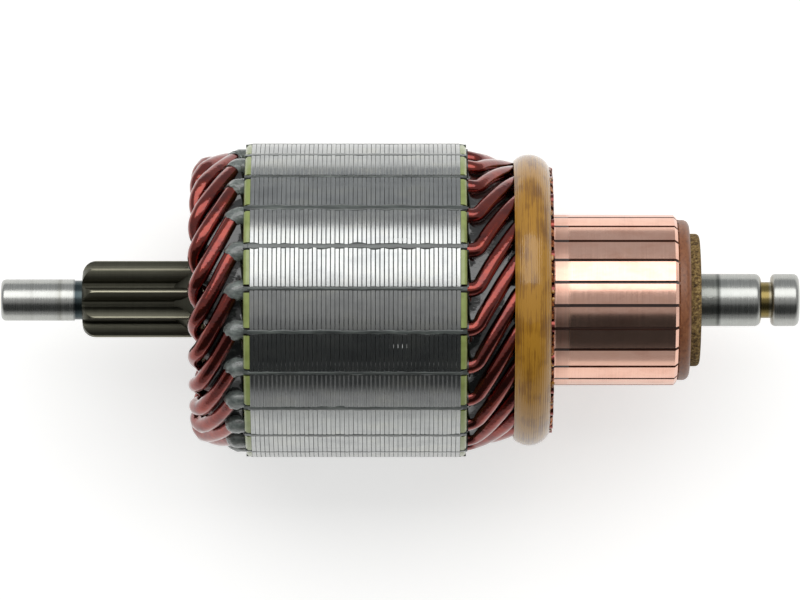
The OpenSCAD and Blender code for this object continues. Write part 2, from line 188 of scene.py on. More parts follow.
def ground_steel():
    """Ground and turned carbon steel: satin journals with rub rings, a pinion left dark from hardening."""
    made, tree, surface = material("ground_steel", metallic=1)
    spot = position(tree)
    station, radius = on_shaft(tree, spot)
    length = (shaft_high.x - shaft_low.x) / MM

    def stop(x_mm):
        """Place of a station on the ramp, in millimetres from the middle of the shaft."""
        return (x_mm - shaft_low.x / MM) / length

    along = add(
        tree,
        "ShaderNodeMapRange",
        {"Value": station, "From Min": shaft_low.x / MM, "From Max": shaft_high.x / MM},
    ).outputs[0]
    tone = add(
        tree,
        "ShaderNodeValToRGB",
        {0: along},
        stops=[
            (stop(-76.1), "#b9bab6"),
            (stop(-70.6), "#b4b5b1"),
            (stop(-70.4), "#77766f"),
            (stop(-70.1), "#b7b8b4"),
            (stop(-66.0), "#b3b4b0"),
            (stop(-65.7), "#96968f"),
            (stop(-65.3), "#b5b6b2"),
            (stop(-64.9), "#92928b"),
            (stop(-64.5), "#b7b8b4"),
            (stop(-62.2), "#b4b5b1"),
            (stop(-62.1), "#3d474b"),
            (stop(-60.6), "#4c5657"),
            (stop(-60.5), "#6b6a5c"),
            (stop(-38.5), "#6b6a5c"),
            (stop(57.0), "#8d8f8a"),
            (stop(60.4), "#8b8d88"),
            (stop(60.6), "#50524e"),
            (stop(61.2), "#aeb0ac"),
            (stop(68.7), "#b0b1ad"),
            (stop(68.9), "#8a7a4a"),
            (stop(70.7), "#86774c"),
            (stop(70.8), "#b2b3af"),
        ],
    ).outputs[0]
    # Hobbed flanks are darker than the tips, which are turned before the teeth are cut.
    on_teeth = add(
        tree,
        "ShaderNodeMapRange",
        {"Value": station, "From Min": -60.7, "From Max": -60.4},
    ).outputs[0]
    past_teeth = add(tree, "ShaderNodeMath", {0: station, 1: -30.0}, operation="LESS_THAN").outputs[0]
    in_teeth = add(tree, "ShaderNodeMath", {0: on_teeth, 1: past_teeth}, operation="MULTIPLY").outputs[0]
    depth = add(
        tree, "ShaderNodeMapRange", {"Value": radius, "From Min": 7.25, "From Max": 7.4}
    ).outputs[0]
    flank = add(
        tree, "ShaderNodeMix", {0: depth, 6: linear("#57564b"), 7: linear("#a3a08c")}, data_type="RGBA"
    )
    toned = add(tree, "ShaderNodeMix", {0: in_teeth, 6: tone, 7: flank.outputs[2]}, data_type="RGBA")
    turned = grain(tree, spot, (0.16, 9, 9), 2, 0.6)
    blotch = grain(tree, spot, (1.6, 1.1, 1.1), 4, 0.6)
    shade = add(tree, "ShaderNodeMapRange", {"Value": turned, "To Min": 0.8, "To Max": 1.12}).outputs[0]
    cast = add(tree, "ShaderNodeMapRange", {"Value": blotch, "To Min": 0.86, "To Max": 1.1}).outputs[0]
    both = add(tree, "ShaderNodeMath", {0: shade, 1: cast}, operation="MULTIPLY").outputs[0]
    final = add(
        tree, "ShaderNodeVectorMath", {0: toned.outputs[2], 3: both}, operation="SCALE"
    ).outputs[0]
    tree.links.new(final, surface.inputs["Base Color"])
    rough_zone = add(
        tree, "ShaderNodeMapRange", {"Value": station, "From Min": 60.9, "From Max": 60.4}
    ).outputs[0]
    behind = add(tree, "ShaderNodeMath", {0: station, 1: 40.0}, operation="GREATER_THAN").outputs[0]
    knurl = add(tree, "ShaderNodeMath", {0: rough_zone, 1: behind}, operation="MULTIPLY").outputs[0]
    rough = add(tree, "ShaderNodeMapRange", {"Value": turned, "To Min": 0.2, "To Max": 0.36}).outputs[0]
    rougher = add(
        tree, "ShaderNodeMath", {0: in_teeth, 1: 0.12, 2: rough}, operation="MULTIPLY_ADD"
    ).outputs[0]
    tree.links.new(rougher, surface.inputs["Roughness"])
    chatter = grain(tree, spot, (0.9, 0.35, 0.35), 2, 0.5)
    marks = add(tree, "ShaderNodeMix", {0: knurl, 2: turned, 3: chatter}, data_type="FLOAT").outputs[0]
    bump = add(tree, "ShaderNodeBump", {"Height": marks, "Strength": 0.35, "Distance": 0.02 * MM})
    strength = add(tree, "ShaderNodeMapRange", {"Value": knurl, "To Min": 0.3, "To Max": 1}).outputs[0]
    tree.links.new(strength, bump.inputs["Strength"])
    tree.links.new(bump.outputs[0], surface.inputs["Normal"])
    return made


def sheet_steel():
    """Electrical sheet, stamped, stacked and turned to size: satin rims with smeared edges."""
    made, tree, surface = material("sheet_steel", metallic=1)
    spot = position(tree)
    smear = grain(tree, spot, (0.3, 5, 5), 3, 0.6)
    stain = grain(tree, spot, (7, 3, 3), 4, 0.6)
    tone = add(
        tree,
        "ShaderNodeValToRGB",
        {0: stain},
        stops=[(0.25, "#a4a6a6"), (0.5, "#b2b4b3"), (0.8, "#bbbcb6")],
    ).outputs[0]
    shade = add(
        tree,
        "ShaderNodeMapRange",
        {"Value": smear, "From Min": 0.3, "From Max": 0.7, "To Min": 0.84, "To Max": 1.04},
    )
    final = add(
        tree, "ShaderNodeVectorMath", {0: tone, 3: shade.outputs[0]}, operation="SCALE"
    ).outputs[0]
    tree.links.new(final, surface.inputs["Base Color"])
    rough = add(tree, "ShaderNodeMapRange", {"Value": stain, "To Min": 0.16, "To Max": 0.25}).outputs[0]
    tree.links.new(rough, surface.inputs["Roughness"])
    bump = add(tree, "ShaderNodeBump", {"Height": smear, "Strength": 0.25, "Distance": 0.02 * MM})
    tree.links.new(bump.outputs[0], surface.inputs["Normal"])
    return made


def green_insulation():
    """Moulded insulation in olive green, dipped in varnish: even and softly glossy, with painted shade that
    darkens it inward of the rim, where its face lies between the wires.
    """
    made, tree, surface = material("green_insulation", roughness=0.38, coat_weight=0.7, coat_roughness=0.14)
    spot = position(tree)
    _, radius = on_shaft(tree, spot)
    stain = grain(tree, spot, (2.5, 2.5, 2.5), 4, 0.6)
    tone = add(
        tree,
        "ShaderNodeValToRGB",
        {0: stain},
        stops=[(0.25, "#76823f"), (0.5, "#8b9853"), (0.8, "#9ba867")],
    ).outputs[0]
    # Painted shade: the colour drops to 0.45 of its tone inward of the rim, where the plate's face lies in
    # shade between the wires.
    depth = add(
        tree, "ShaderNodeMapRange", {"Value": radius, "From Min": 28.6, "From Max": 29.7, "To Min": 0.45}
    ).outputs[0]
    final = add(tree, "ShaderNodeVectorMath", {0: tone, 3: depth}, operation="SCALE").outputs[0]
    tree.links.new(final, surface.inputs["Base Color"])
    fine = grain(tree, spot, (0.35, 0.35, 0.35), 3, 0.6)
    bump = add(tree, "ShaderNodeBump", {"Height": fine, "Strength": 0.2, "Distance": 0.04 * MM})
    tree.links.new(bump.outputs[0], surface.inputs["Normal"])
    return made


def varnished_paper():
    """Aramid slot paper soaked in varnish: dull amber brown, darker where the varnish pools."""
    made, tree, surface = material("varnished_paper", roughness=0.4, coat_weight=0.8, coat_roughness=0.1)
    spot = position(tree)
    stain = grain(tree, spot, (1.5, 0.8, 0.8), 4, 0.6)
    tone = add(
        tree,
        "ShaderNodeValToRGB",
        {0: stain},
        stops=[(0.3, "#1b1512"), (0.6, "#2b231b"), (0.85, "#3d3324")],
    ).outputs[0]
    tree.links.new(tone, surface.inputs["Base Color"])
    bump = add(tree, "ShaderNodeBump", {"Height": stain, "Strength": 0.5, "Distance": 0.2 * MM})
    tree.links.new(bump.outputs[0], surface.inputs["Normal"])
    return made


def cured_varnish():
    """Polyester dipping varnish, cured thick over paper: milky grey-green, wet gloss, crinkled."""
    made, tree, surface = material(
        "cured_varnish", roughness=0.22, coat_weight=1, coat_roughness=0.04, alpha=0.86, ior=1.52
    )
    spot = position(tree)
    stain = grain(tree, spot, (1.2, 0.8, 0.8), 4, 0.65)
    tone = add(
        tree,
        "ShaderNodeValToRGB",
        {0: stain},
        stops=[(0.3, "#565d5b"), (0.55, "#757d79"), (0.8, "#98a09a")],
    ).outputs[0]
    tree.links.new(tone, surface.inputs["Base Color"])
    crinkle = grain(tree, spot, (0.9, 0.45, 0.45), 3, 0.55)
    bump = add(tree, "ShaderNodeBump", {"Height": crinkle, "Strength": 0.7, "Distance": 0.25 * MM})
    tree.links.new(bump.outputs[0], surface.inputs["Normal"])
    return made


def slot_varnish():
    """Varnish that closes the slot mouths: dark grey, smooth, a little sunken."""
    made, tree, surface = material("slot_varnish", roughness=0.3, coat_weight=0.8, coat_roughness=0.1)
    spot = position(tree)
    stain = grain(tree, spot, (5, 1, 1), 4, 0.6)
    tone = add(
        tree,
        "ShaderNodeValToRGB",
        {0: stain},
        stops=[(0.3, "#2c302f"), (0.55, "#4b514e"), (0.8, "#6a716c")],
    ).outputs[0]
    tree.links.new(tone, surface.inputs["Base Color"])
    bump = add(tree, "ShaderNodeBump", {"Height": stain, "Strength": 0.5, "Distance": 0.15 * MM})
    tree.links.new(bump.outputs[0], surface.inputs["Normal"])
    return made


def enamelled_copper():
    """Magnet wire: copper under clear dark-red enamel, so the metal glows red where light falls on it."""
    made, tree, surface = material(
        "enamelled_copper", metallic=1, coat_weight=1, coat_roughness=0.05, coat_ior=1.5
    )
    spot = position(tree)
    stain = grain(tree, spot, (4, 2.5, 2.5), 4, 0.6)
    tone = add(
        tree,
        "ShaderNodeValToRGB",
        {0: stain},
        stops=[(0.25, "#531615"), (0.5, "#7a2418"), (0.8, "#94341c")],
    ).outputs[0]
    tree.links.new(tone, surface.inputs["Base Color"])
    rough = add(tree, "ShaderNodeMapRange", {"Value": stain, "To Min": 0.16, "To Max": 0.28}).outputs[0]
    tree.links.new(rough, surface.inputs["Roughness"])
    ripple = grain(tree, spot, (1.6, 0.8, 0.8), 2, 0.5)
    bump = add(tree, "ShaderNodeBump", {"Height": ripple, "Strength": 0.35, "Distance": 0.12 * MM})
    tree.links.new(bump.outputs[0], surface.inputs["Normal"])
    tree.links.new(bump.outputs[0], surface.inputs["Coat Normal"])
    return made


def varnish_with_painted_shade():
    """Varnish pooled between the wires, with wet gloss on top; its almost black colour is painted shade of
    the deep gaps between the wires.
    """
    made, tree, surface = material("varnish_with_painted_shade", roughness=0.16, coat_weight=1, coat_roughness=0.03)
    spot = position(tree)
    stain = grain(tree, spot, (2.5, 1.4, 1.4), 4, 0.6)
    # Painted shade: these near-black tones stand for the shade deep in the gaps between the wires, not the
    # varnish's own colour.
    tone = add(
        tree,
        "ShaderNodeValToRGB",
        {0: stain},
        stops=[(0.35, "#080808"), (0.6, "#141614"), (0.85, "#2b2f2b")],
    ).outputs[0]
    tree.links.new(tone, surface.inputs["Base Color"])
    ripple = grain(tree, spot, (1.1, 0.6, 0.6), 2, 0.5)
    bump = add(tree, "ShaderNodeBump", {"Height": ripple, "Strength": 0.5, "Distance": 0.2 * MM})
    tree.links.new(bump.outputs[0], surface.inputs["Normal"])
    return made


def glass_banding():
    """Glass-fibre roving wound wet in amber resin: honey brown with bright threads round the shaft."""
    made, tree, surface = material(
        "glass_banding",
        roughness=0.45,
        specular_ior_level=0.3,
        coat_weight=1,
        coat_roughness=0.04,
        coat_ior=1.45,
    )
    spot = position(tree)
    strand = grain(tree, spot, (0.22, 11, 11), 3, 0.55)
    stain = grain(tree, spot, (3, 5, 5), 3, 0.5)
    mix = add(tree, "ShaderNodeMath", {0: strand, 1: stain}, operation="ADD").outputs[0]
    tone = add(
        tree,
        "ShaderNodeValToRGB",
        {0: mix},
        stops=[(0.75, "#7d5210"), (0.95, "#98690f"), (1.0, "#ab7a1c")],
    )
    tree.links.new(tone.outputs[0], surface.inputs["Base Color"])
    bump = add(tree, "ShaderNodeBump", {"Height": strand, "Strength": 0.45, "Distance": 0.08 * MM})
    tree.links.new(bump.outputs[0], surface.inputs["Normal"])
    tree.links.new(bump.outputs[0], surface.inputs["Coat Normal"])
    return made


def turned_copper():
    """Commutator copper: brush track turned bright, risers stained with varnish and brazing heat."""
    made, tree, surface = material("turned_copper", metallic=1)
    spot = position(tree)
    station, radius = on_shaft(tree, spot)
    cut = grain(tree, spot, (0.14, 12, 12), 2, 0.6)
    handled = grain(tree, spot, (6, 3, 3), 4, 0.6)
    stain = grain(tree, spot, (0.9, 1.0, 1.0), 4, 0.7)
    bright = add(
        tree,
        "ShaderNodeValToRGB",
        {0: handled},
        stops=[(0.3, "#e3b09b"), (0.55, "#efc0ac"), (0.8, "#e9b79f")],
    ).outputs[0]
    dull = add(
        tree,
        "ShaderNodeValToRGB",
        {0: stain},
        stops=[(0.36, "#2a1710"), (0.47, "#6b351d"), (0.58, "#b0693a"), (0.72, "#d39a5c")],
    ).outputs[0]
    on_riser = add(
        tree, "ShaderNodeMapRange", {"Value": radius, "From Min": 16.7, "From Max": 17.6}
    ).outputs[0]
    mixed = add(tree, "ShaderNodeMix", {0: on_riser, 6: bright, 7: dull}, data_type="RGBA").outputs[2]
    shade = add(
        tree,
        "ShaderNodeMapRange",
        {"Value": cut, "From Min": 0.3, "From Max": 0.7, "To Min": 0.93, "To Max": 1.03},
    )
    final = add(
        tree, "ShaderNodeVectorMath", {0: mixed, 3: shade.outputs[0]}, operation="SCALE"
    ).outputs[0]
    tree.links.new(final, surface.inputs["Base Color"])
    corner = add(
        tree,
        "ShaderNodeMapRange",
        {"Value": station, "From Min": face_x / MM + 3.4, "From Max": face_x / MM + 2.6},
    ).outputs[0]
    plain = add(tree, "ShaderNodeMapRange", {"Value": cut, "To Min": 0.12, "To Max": 0.22}).outputs[0]
    rough = add(
        tree, "ShaderNodeMath", {0: corner, 1: 0.16, 2: plain}, operation="MULTIPLY_ADD"
    ).outputs[0]
    rougher = add(
        tree, "ShaderNodeMath", {0: on_riser, 1: 0.08, 2: rough}, operation="MULTIPLY_ADD"
    ).outputs[0]
    tree.links.new(rougher, surface.inputs["Roughness"])
    groove = add(tree, "ShaderNodeMapRange", {"Value": corner, "To Min": 0.12, "To Max": 0.6}).outputs[0]
    bump = add(tree, "ShaderNodeBump", {"Height": cut, "Strength": groove, "Distance": 0.02 * MM})
    lump = add(
        tree,
        "ShaderNodeBump",
        {"Height": stain, "Strength": on_riser, "Distance": 0.2 * MM, "Normal": bump.outputs[0]},
    )
    tree.links.new(lump.outputs[0], surface.inputs["Normal"])
    return made


def phenolic():
    """Phenolic moulding compound: reddish brown, eggshell gloss, turned on its collar."""
    made, tree, surface = material("phenolic", coat_weight=0.25, coat_roughness=0.3)
    spot = position(tree)
    station, _ = on_shaft(tree, spot)
    filler = grain(tree, spot, (0.5, 0.9, 0.9), 5, 0.65)
    tone = add(
        tree,
        "ShaderNodeValToRGB",
        {0: filler},
        stops=[(0.3, "#63381f"), (0.5, "#85502f"), (0.75, "#96623d")],
    ).outputs[0]
    between = add(
        tree,
        "ShaderNodeMapRange",
        {"Value": station, "From Min": track_x / MM - 0.1, "From Max": track_x / MM},
    ).outputs[0]
    final = add(
        tree, "ShaderNodeMix", {0: between, 6: linear("#2f1a12"), 7: tone}, data_type="RGBA"
    ).outputs[2]
    tree.links.new(final, surface.inputs["Base Color"])
    rough = add(tree, "ShaderNodeMapRange", {"Value": filler, "To Min": 0.38, "To Max": 0.56}).outputs[0]
    tree.links.new(rough, surface.inputs["Roughness"])
    turned = grain(tree, spot, (0.25, 6, 6), 2, 0.5)
    bump = add(tree, "ShaderNodeBump", {"Height": turned, "Strength": 0.3, "Distance": 0.04 * MM})
    tree.links.new(bump.outputs[0], surface.inputs["Normal"])
    return made


def pressed_fibre():
    """Pressed cork-and-fibre washer: speckled brown, dry and crumbly."""
    made, tree, surface = material("pressed_fibre", specular_ior_level=0.25)
    spot = position(tree)
    fleck = grain(tree, spot, (0.55, 0.45, 0.45), 5, 0.7)
    tone = add(
        tree,
        "ShaderNodeValToRGB",
        {0: fleck},
        stops=[(0.36, "#2e2416"), (0.46, "#6a5334"), (0.55, "#8f7648"), (0.68, "#b59f6c")],
    ).outputs[0]
    tree.links.new(tone, surface.inputs["Base Color"])
    rough = add(tree, "ShaderNodeMapRange", {"Value": fleck, "To Min": 0.75, "To Max": 0.95}).outputs[0]
    tree.links.new(rough, surface.inputs["Roughness"])
    bump = add(tree, "ShaderNodeBump", {"Height": fleck, "Strength": 0.8, "Distance": 0.2 * MM})
    tree.links.new(bump.outputs[0], surface.inputs["Normal"])
    return made


def drawn_steel():
    """Drawn steel bush, plain and satin."""
    made, tree, surface = material("drawn_steel", metallic=1, roughness=0.35)
    spot = position(tree)
    drawn = grain(tree, spot, (9, 0.2, 0.2), 2, 0.5)
    tone = add(
        tree,
        "ShaderNodeValToRGB",
        {0: drawn},
        stops=[(0.3, "#9a9b98"), (0.7, "#b3b4b1")],
    ).outputs[0]
    tree.links.new(tone, surface.inputs["Base Color"])
    return made


def amber_resin():
    """Beads of the band's resin run on to the risers: clear honey, wet gloss."""
    made, tree, surface = material(
        "amber_resin", roughness=0.12, coat_weight=1, coat_roughness=0.03, ior=1.54
    )
    spot = position(tree)
    stain = grain(tree, spot, (1, 1, 1), 3, 0.5)
    tone = add(
        tree,
        "ShaderNodeValToRGB",
        {0: stain},
        stops=[(0.35, "#7a4a1c"), (0.7, "#c98f3a")],
    ).outputs[0]
    tree.links.new(tone, surface.inputs["Base Color"])
    return made


# Pieces


def finish_piece(name, bm, skin, replaced=(), sharp=35):
    """Turns a bmesh into a riding piece of the armature, smooth but for its sharp edges."""
    bmesh.ops.recalc_face_normals(bm, faces=bm.faces)
    mesh = bpy.data.meshes.new(name)
    bm.to_mesh(mesh)
    bm.free()
    mesh.shade_smooth()
    mesh.set_sharp_from_angle(angle=math.radians(sharp))
    mesh.materials.append(skin)
    piece = bpy.data.objects.new(name, mesh)
    bpy.context.scene.collection.objects.link(piece)
    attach(piece, BODY)
    if replaced:
        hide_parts(*replaced)
    return piece


def arc(centre, radius, start, end, steps):
    """Points of an arc in the unrolled plane, with angles in radians."""
    turns = [start + (end - start) * i / steps for i in range(steps + 1)]
    return [centre + radius * Vector((math.cos(a), math.sin(a))) for a in turns]


def straight(start, end, steps):
    """Points between two ends, without the ends."""
    return [start.lerp(end, i / steps) for i in range(1, steps)]


QUARTER = math.pi / 2
ARC_STEPS = 8
LINE_STEPS = 8


def crown_leg(along, around):
    """From the slot into a slanted line and round to a crown that runs across the shaft."""
    start = Vector((0, BEND_R))
    end = Vector((along - CROWN_BEND_R, around))
    v = end - start
    slant = math.atan2(v.y, v.x) - math.asin((CROWN_BEND_R - BEND_R) / v.length)
    bend = arc(start, BEND_R, -QUARTER, slant - QUARTER, ARC_STEPS)
    crown = arc(end, CROWN_BEND_R, slant - QUARTER, 0, ARC_STEPS)
    return bend + straight(bend[-1], crown[0], LINE_STEPS) + crown


def riser_leg(along, around):
    """From the slot into a slanted line and back along the shaft into the riser."""
    start = Vector((0, BEND_R))
    end = Vector((along, around - BEND_R))
    v = end - start
    slant = math.atan2(v.y, v.x) + math.asin(2 * BEND_R / v.length)
    bend = arc(start, BEND_R, -QUARTER, slant - QUARTER, ARC_STEPS)
    back = arc(end, BEND_R, slant + QUARTER, QUARTER, ARC_STEPS)
    return bend + straight(bend[-1], back[0], LINE_STEPS) + back


def layer_path(layer, make_leg, reach):
    """Leg of one layer on its unrolled plane, with the radius of that plane."""
    unrolled = SLOT_RADII[layer] - CROWN_DROP / 2
    return make_leg(reach, LEG_SLOTS * PITCH * unrolled), unrolled


def crown_points(layer, turn, side):
    """Points of one leg at the pinion end, from the slot to the middle of the crown."""
    reach = wire_x0 - crown_x
    path, unrolled = layer_path(layer, crown_leg, reach)
    left = [0.0]
    for a, b in zip(path[::-1], path[-2::-1]):
        left.append(left[-1] + (a - b).length)
    middle = sum(SLOT_RADII) / 2
    half = (SLOT_RADII[0] - SLOT_RADII[1]) / 2
    points = []
    for p, run in zip(path, left[::-1]):
        part = p.x / reach
        rise = math.sin(QUARTER * min(1, run / CROWN_RUN))
        spread = half + (CROWN_HALF - half) * part
        r = middle - CROWN_DROP * part + side * spread * rise
        points.append(place(wire_x0 - p.x, turn - side * p.y / unrolled, r))
    return points


def riser_points(layer, turn, side):
    """Points of one leg at the commutator end, from the slot to the face of the riser."""
    reach = wire_riser_x - wire_x1
    path, unrolled = layer_path(layer, riser_leg, reach)
    slope = (RISER_RADII[layer] - SLOT_RADII[layer]) / reach
    points = []
    for p in path:
        r = SLOT_RADII[layer] + slope * p.x
        points.append(place(wire_x1 + p.x, turn + side * p.y / unrolled, r))
    return points + [place(face_x, turn + side * LEG_SLOTS * PITCH, RISER_RADII[layer])]


def hairpin_path(turn):
    """Centre line of a hairpin whose outer leg lies in the slot at this turn."""
    inner_turn = turn - 2 * LEG_SLOTS * PITCH
    return (
        riser_points(0, turn, 1)[::-1]
        + crown_points(0, turn, 1)
        + crown_points(1, inner_turn, -1)[-2::-1]
        + riser_points(1, inner_turn, -1)
    )


def ring_frames(path):
    """A frame at each point of a path: Z ahead, Y away from the shaft as far as it can be."""
    frames = []
    for i, point in enumerate(path):
        ahead = (path[min(i + 1, len(path) - 1)] - path[max(i - 1, 0)]).normalized()
        away = Vector((0, point.y, point.z)).normalized()
        across = away.cross(ahead).normalized()
        up = ahead.cross(across)
        turned = Matrix((across, up, ahead)).transposed().to_4x4()
        frames.append(Matrix.Translation(point) @ turned)
    return frames


def carry_on(bm, edges):
    """Extrudes a row of edges where it is, and gives the new row."""
    made = bmesh.ops.extrude_edge_only(bm, edges=edges)["geom"]
    verts = [g for g in made if isinstance(g, bmesh.types.BMVert)]
    fresh = set(verts)
    edges = [g for g in made if isinstance(g, bmesh.types.BMEdge) and set(g.verts) <= fresh]
    return verts, edges


def circle(bm, sides, radius):
    """Points and edges of a circle, in the same order at every run."""
    verts = bmesh.ops.create_circle(bm, segments=sides, radius=radius)["verts"]
    return verts, list(dict.fromkeys(e for v in verts for e in v.link_edges))


def sweep(bm, frames, radii, sides):
    """Tube through a row of frames, with its radius at each, open at both ends."""
    verts, edges = circle(bm, sides, 1)
    held = Matrix.Identity(4)
    rows = []
    for frame_here, radius in zip(frames, radii):
        if rows:
            verts, edges = carry_on(bm, edges)
        here = frame_here @ Matrix.Diagonal((radius, radius, radius, 1))
        bmesh.ops.transform(bm, matrix=here @ held.inverted(), verts=verts)
        held = here
        rows.append((verts, edges))
    return rows


def wobble(point, size_mm, amount, seed):
    """Small seeded shift of a point, the same at every run."""
    return noise.noise_vector(point / (size_mm * MM) + Vector((seed, 7 * seed, 3 * seed))) * amount


WIRE_SIDES = 18
WIRE_WANDER = 0.1 * MM
WIRE_WANDER_RUN = 6


def hairpins(skin):
    """One enamelled wire for each slot, from riser to riser, a little out of true as twisted wires are."""
    for k in range(1, SLOTS + 1):
        path = hairpin_path(slot_turn(k))
        free = [p + wobble(p, WIRE_WANDER_RUN, WIRE_WANDER, k) for p in path]
        for i, point in enumerate(path):
            if core_low.x - MM < point.x < core_high.x + MM or point.x > wire_riser_x:
                free[i] = point
        bm = bmesh.new()
        rows = sweep(bm, ring_frames(free), [WIRE_D / 2] * len(free), WIRE_SIDES)
        for row in (rows[0], rows[-1]):
            bmesh.ops.contextual_create(bm, geom=row[1])
        name = f"hairpin_{k:02d}"
        finish_piece(f"{name}_wire", bm, skin, [name])


TOOTH_STEPS = 4


def slot_outline():
    """Outline of one slot pitch: turn, radius and share of the mouth's rounding at each point."""
    half = SLOT_W / 2
    mouth = MOUTH_W / 2
    side = [
        (mouth, math.sqrt(core_r**2 - mouth**2), 1),
        (mouth, SLOT_RADII[0] + math.sqrt(half**2 - mouth**2), 1),
        (half, SLOT_RADII[0], 0),
        (half, SLOT_RADII[1], 0),
    ]
    left = [(-v, u, share) for v, u, share in side]
    whole = left + [(0, SLOT_RADII[1] - half, 0)] + side[::-1]
    points = [(math.atan2(v, u), math.hypot(u, v), share) for v, u, share in whole]
    edge = points[-1][0]
    tooth = PITCH - 2 * edge
    teeth = [(edge + tooth * i / TOOTH_STEPS, core_r, 0) for i in range(1, TOOTH_STEPS)]
    return points + teeth


SHEET_PITCH = (core_high.x - core_low.x) / SHEETS
SHEET_AIR = 0.09 * MM
SHEET_TURN_DEG = 0.05
SHEET_SHRINK = 0.0006
SHEET_SLIM = (0.985, 1.01)
RIM_BEVEL = 0.035 * MM
RIM_SHARE = 0.09
RIM_DEPTH = 0.3 * MM
MOUTH_BEVEL = 0.14 * MM
TURNED_OFF = 0.02 * MM
MERGE = 0.001 * MM


def one_sheet():
    """A single lamination at the origin, with its punched slots and rounded rim."""
    outline = []
    for k in range(SLOTS):
        outline += [(slot_turn(k) + turn, r, share, turn) for turn, r, share in slot_outline()]
    bm = bmesh.new()
    verts, edges = circle(bm, len(outline), BORE_R)
    order = {v: i for i, v in enumerate(verts)}
    thick = SHEET_PITCH - SHEET_AIR

    def set_row(row, x, bore, cut):
        """Puts a row of points on the bore or on the outline, cut back by a share of the bevels."""
        for v, i in row.items():
            turn, r, share, offset = outline[i]
            if bore:
                v.co = place(x, turn, BORE_R)
                continue
            on_rim = r > core_r - RIM_DEPTH
            shift = math.copysign(cut * MOUTH_BEVEL / r, offset) * share
            v.co = place(x, turn + shift, r - TURNED_OFF - (RIM_BEVEL * cut if on_rim else 0))

    def next_row(row, row_edges):
        """Extrudes a row and numbers its new points as the old ones."""
        fresh, fresh_edges = carry_on(bm, row_edges)
        numbered = {}
        for v in fresh:
            numbered[v] = next(row[e.other_vert(v)] for e in v.link_edges if e.other_vert(v) in row)
        return numbered, fresh_edges

    set_row(order, 0, True, 0)
    row = order
    for x, bore, cut in (
        (0, False, 1),
        (RIM_SHARE * thick, False, 0),
        ((1 - RIM_SHARE) * thick, False, 0),
        (thick, False, 1),
        (thick, True, 0),
        (0, True, 0),
    ):
        row, edges = next_row(row, edges)
        set_row(row, x, bore, cut)
    bmesh.ops.remove_doubles(bm, verts=list(order) + list(row), dist=MERGE)
    bmesh.ops.recalc_face_normals(bm, faces=bm.faces)
    mesh = bpy.data.meshes.new("sheet")
    bm.to_mesh(mesh)
    bm.free()
    return mesh


def lamination_stack(skin):
    """The sheets of the core, each turned and shifted by the play that the stacking leaves."""
    sheet = one_sheet()
    bm = bmesh.new()
    for i in range(SHEETS):
        known = len(bm.verts)
        bm.from_mesh(sheet)
        bm.verts.ensure_lookup_table()
        fresh = bm.verts[known:]
        turn = Matrix.Rotation(math.radians(dice.uniform(-SHEET_TURN_DEG, SHEET_TURN_DEG)), 4, "X")
        shrink = 1 - dice.uniform(0, SHEET_SHRINK)
        slim = dice.uniform(*SHEET_SLIM)
        move = Matrix.Translation((core_low.x + i * SHEET_PITCH + SHEET_AIR / 2, 0, 0))
        size = Matrix.Diagonal((slim, shrink, shrink, 1))
        bmesh.ops.transform(bm, matrix=move @ turn @ size, verts=fresh)
    bpy.data.meshes.remove(sheet)
    finish_piece("lamination_stack", bm, skin, ["core"], 25)


def cuff_path(turn, length):
    """The first stretch of an outer leg, which a slot liner covers at the pinion end."""
    path = [place(plate_x0 + CUFF_ROOT, turn, SLOT_RADII[0])] + crown_points(0, turn, 1)
    kept = [path[0]]
    run = 0
    for a, b in zip(path, path[1:]):
        run += (b - a).length
        if run > length:
            break
        kept.append(b)
    return kept


CUFF_SIDES = 28
CUFF_LENGTH = 4.4 * MM
CUFF_SPREAD = (0.9, 1.15)
CUFF_ROOT = 0.6 * MM
CUFF_R = 1.72 * MM
CUFF_BULGE = 0.22 * MM
CUFF_END_R = 1.66 * MM
CUFF_LIP_R = 1.46 * MM
CUFF_CRINKLE = 0.22 * MM
CUFF_CRINKLE_RUN = 1.1 * MM
CUFF_FRAY = 0.9 * MM
CUFF_CLEAR = 0.5 * MM


def liner_cuffs(skin):
    """Slot liners that stand out at the pinion end, crinkled and set in thick varnish round each wire."""
    for k in range(1, SLOTS + 1):
        bm = bmesh.new()
        path = cuff_path(slot_turn(k), CUFF_LENGTH * dice.uniform(*CUFF_SPREAD))
        frames = ring_frames(path)
        count = len(path)
        radii = [CUFF_R + CUFF_BULGE * math.sin(math.pi * i / (count - 1)) for i in range(count)]
        radii[-1] = CUFF_END_R
        rows = sweep(bm, frames + [frames[-1]], radii + [CUFF_LIP_R], CUFF_SIDES)
        for i, (verts, edges) in enumerate(rows):
            loose = min(1, i / 4)
            for v in verts:
                axis = frames[min(i, count - 1)]
                out = (v.co - axis.translation).normalized()
                v.co += out * noise.noise(v.co / CUFF_CRINKLE_RUN) * CUFF_CRINKLE * loose
                if i >= count - 2:
                    v.co -= axis.col[2].to_3d() * abs(noise.noise(v.co / CUFF_FRAY)) * CUFF_FRAY
        for v in bm.verts:
            high = math.hypot(v.co.y, v.co.z)
            limit = core_r - CUFF_CLEAR
            if high > limit:
                v.co.yz = v.co.yz * (limit / high)
        finish_piece(f"liner_cuff_{k:02d}", bm, skin, (), 60)


def strip(bm, frames, section):
    """Sheet that follows a row of frames with an open section, given as across and up."""
    verts = [bm.verts.new(frames[0] @ Vector((a, b, 0))) for a, b in section]
    edges = [bm.edges.new(pair) for pair in zip(verts, verts[1:])]
    for before, after in zip(frames, frames[1:]):
        verts, edges = carry_on(bm, edges)
        bmesh.ops.transform(bm, matrix=after @ before.inverted(), verts=verts)


WEB_HALF = 2.3 * MM
WEB_RISE = 0.25 * MM
WEB_DEPTH = (0.25, 0.75)
WEB_STEPS = 8
WEB_WALL = 0.25 * MM
WEB_WANDER = 0.16 * MM
WEB_WANDER_RUN = 2.2


def thicken(piece, wall):
    """Gives a sheet its wall, inwards from its outer face."""
    shell = piece.modifiers.new("wall", "SOLIDIFY")
    shell.thickness = wall
    shell.offset = -1


